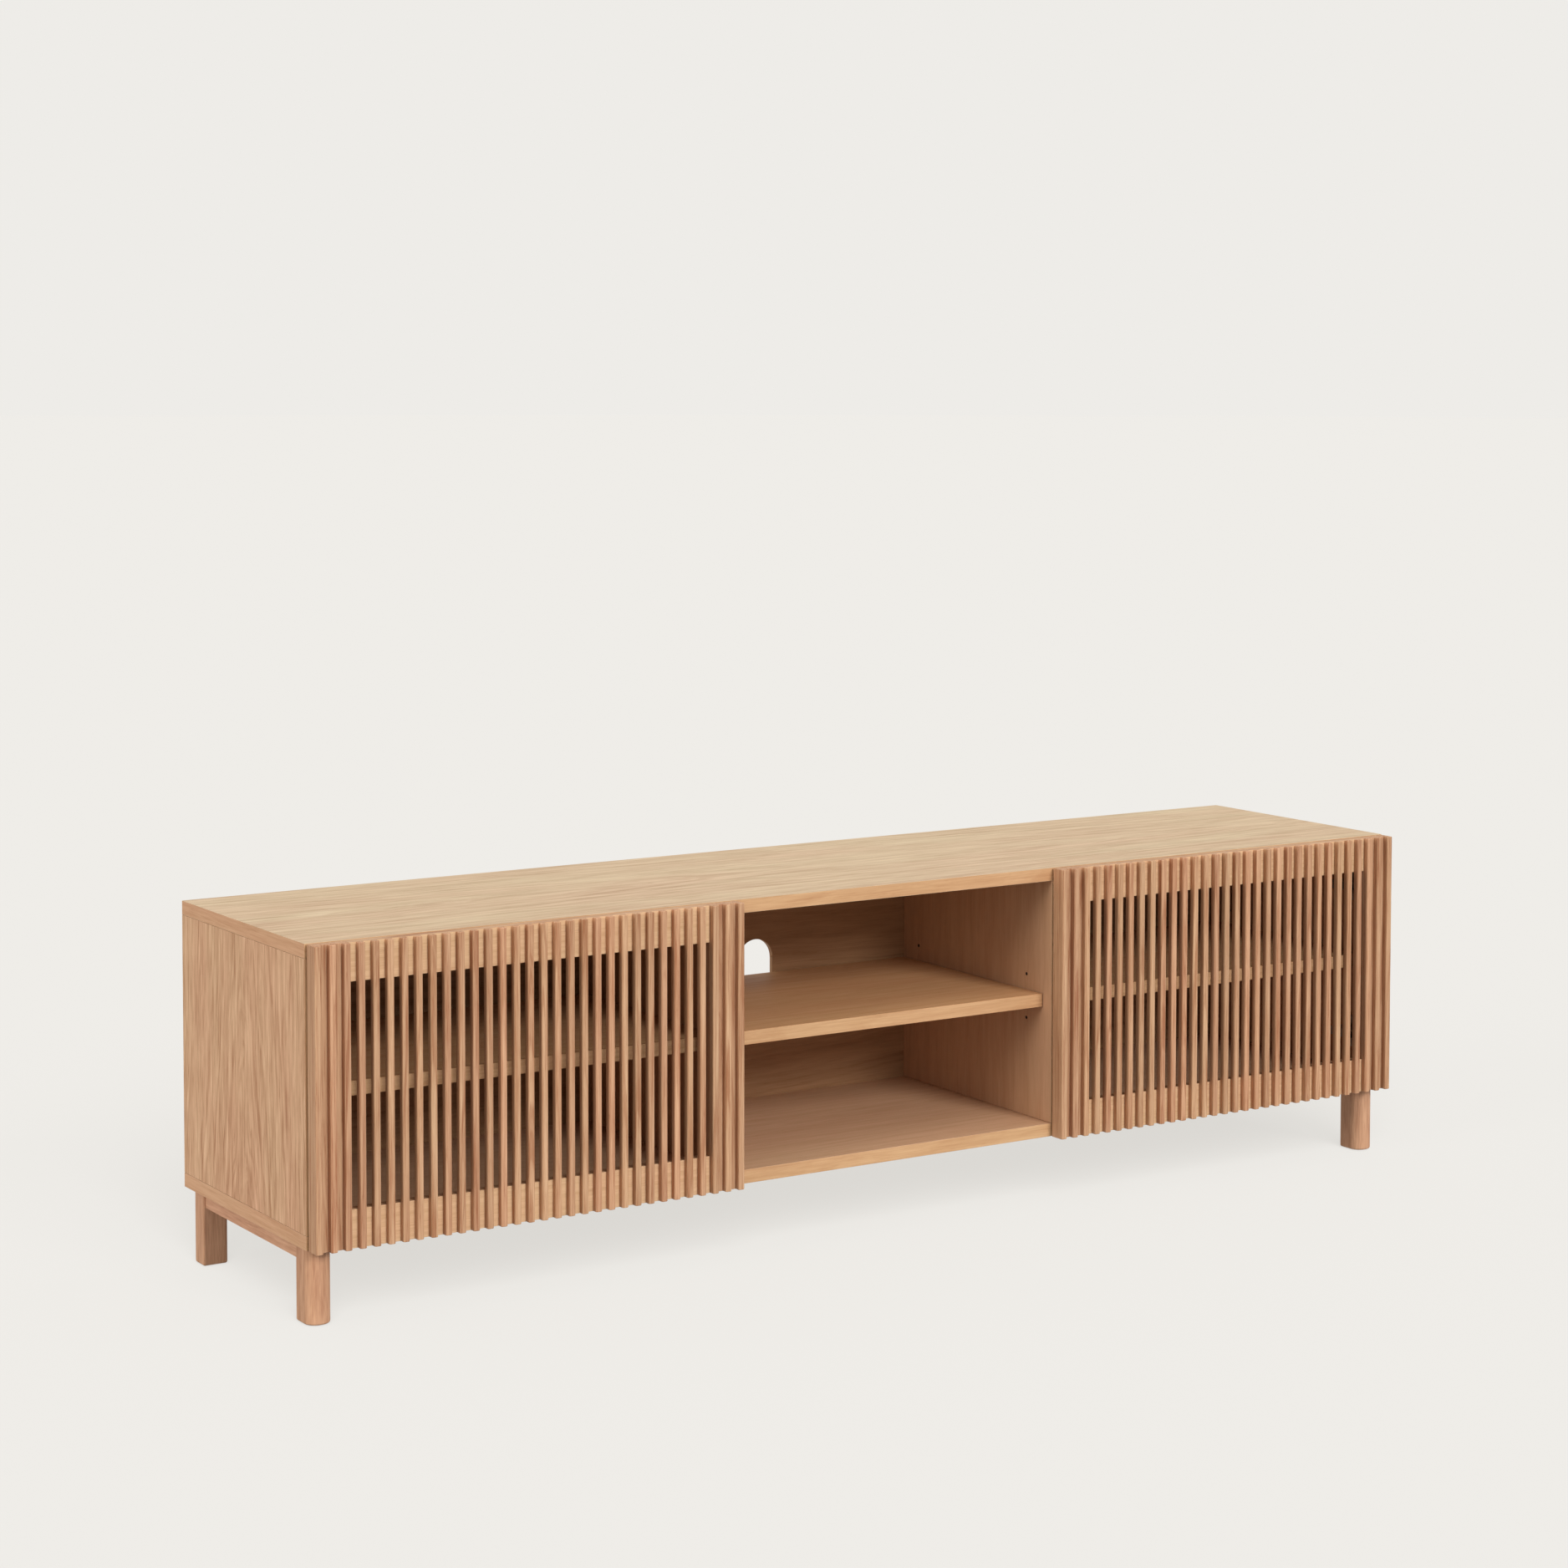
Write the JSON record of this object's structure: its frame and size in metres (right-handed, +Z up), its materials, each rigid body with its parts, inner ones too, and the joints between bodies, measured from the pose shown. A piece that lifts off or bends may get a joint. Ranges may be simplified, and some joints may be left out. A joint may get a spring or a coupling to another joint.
{
  "type": "media cabinet",
  "caption": "Low oak media cabinet with an open centre niche, shelves, and slatted doors on cup hinges over the outer bays, on short legs.",
  "frame": {"origin": "on the floor, under the centre of the cabinet's footprint with the doors closed", "axes": "+X along the width to the right as seen from the front, +Y towards the wall, +Z up"},
  "size_m": [1.8, 0.42, 0.49],
  "materials": {
    "oak_veneer": "matt lacquered oak veneer on board",
    "solid_oak": "matt lacquered solid oak",
    "zinc_plated_steel": "zinc or nickel plated steel",
    "pale_plastic": "moulded pale plastic"
  },
  "bodies": {
    "carcass": {"top_panel": "oak_veneer", "bottom_panel": "oak_veneer", "left_side_panel": "oak_veneer", "right_side_panel": "oak_veneer", "left_partition": "oak_veneer", "right_partition": "oak_veneer", "back_panel": "oak_veneer", "left_shelf": "oak_veneer", "centre_shelf": "oak_veneer", "right_shelf": "oak_veneer", "left_shelf_pin_outer_front": "zinc_plated_steel", "left_shelf_pin_outer_rear": "zinc_plated_steel", "left_shelf_pin_inner_front": "zinc_plated_steel", "left_shelf_pin_inner_rear": "zinc_plated_steel", "centre_shelf_pin_left_front": "zinc_plated_steel", "centre_shelf_pin_left_rear": "zinc_plated_steel", "right_shelf_pin_outer_front": "zinc_plated_steel", "right_shelf_pin_outer_rear": "zinc_plated_steel", "right_shelf_pin_inner_front": "zinc_plated_steel", "right_shelf_pin_inner_rear": "zinc_plated_steel", "centre_shelf_pin_right_front": "zinc_plated_steel", "centre_shelf_pin_right_rear": "zinc_plated_steel", "left_front_leg": "solid_oak", "left_front_glide": "pale_plastic", "left_rear_leg": "solid_oak", "left_rear_glide": "pale_plastic", "left_apron": "solid_oak", "right_front_leg": "solid_oak", "right_front_glide": "pale_plastic", "right_rear_leg": "solid_oak", "right_rear_glide": "pale_plastic", "right_apron": "solid_oak", "left_upper_hinge_arm": "zinc_plated_steel", "left_lower_hinge_arm": "zinc_plated_steel", "left_push_latch": "pale_plastic", "right_upper_hinge_arm": "zinc_plated_steel", "right_lower_hinge_arm": "zinc_plated_steel", "right_push_latch": "pale_plastic"},
    "left_door": {"left_door_outer_stile": "solid_oak", "left_door_inner_stile": "solid_oak", "left_door_grille": "solid_oak", "left_upper_hinge_cup": "zinc_plated_steel", "left_lower_hinge_cup": "zinc_plated_steel", "left_strike_plate": "zinc_plated_steel"},
    "left_hinge_links": {"left_upper_hinge_link": "zinc_plated_steel", "left_lower_hinge_link": "zinc_plated_steel"},
    "left_plunger": {"left_latch_plunger": "pale_plastic"},
    "right_door": {"right_door_outer_stile": "solid_oak", "right_door_inner_stile": "solid_oak", "right_door_grille": "solid_oak", "right_upper_hinge_cup": "zinc_plated_steel", "right_lower_hinge_cup": "zinc_plated_steel", "right_strike_plate": "zinc_plated_steel"},
    "right_hinge_links": {"right_upper_hinge_link": "zinc_plated_steel", "right_lower_hinge_link": "zinc_plated_steel"},
    "right_plunger": {"right_latch_plunger": "pale_plastic"}
  },
  "joints": [
    {"name": "left_door_hinge", "type": "hinge", "parent": "carcass", "child": "left_door", "pos_m": [-0.8925, -0.196, 0.294], "axis": [0, 0, -1], "range_deg": [0, 105]},
    {"name": "left_link_turn", "type": "hinge", "parent": "left_door", "child": "left_hinge_links", "pos_m": [-0.8725, -0.187, 0.294], "axis": [0, 0, 1], "range_deg": [0, 74]},
    {"name": "left_latch_push", "type": "slide", "parent": "carcass", "child": "left_plunger", "axis": [0, -1, 0], "range_m": [0, 0.014]},
    {"name": "right_door_hinge", "type": "hinge", "parent": "carcass", "child": "right_door", "pos_m": [0.8925, -0.196, 0.294], "axis": [0, 0, 1], "range_deg": [0, 105]},
    {"name": "right_link_turn", "type": "hinge", "parent": "right_door", "child": "right_hinge_links", "pos_m": [0.8725, -0.187, 0.294], "axis": [0, 0, -1], "range_deg": [0, 74]},
    {"name": "right_latch_push", "type": "slide", "parent": "carcass", "child": "right_plunger", "axis": [0, -1, 0], "range_m": [0, 0.014]}
  ],
  "couplings": [
    {"joint": "left_link_turn", "follows": "left_door_hinge", "ratio": 0.7},
    {"joint": "left_latch_push", "follows": "left_door_hinge", "m_per_rad": 0.0076},
    {"joint": "right_link_turn", "follows": "right_door_hinge", "ratio": 0.7},
    {"joint": "right_latch_push", "follows": "right_door_hinge", "m_per_rad": 0.0076}
  ]
}
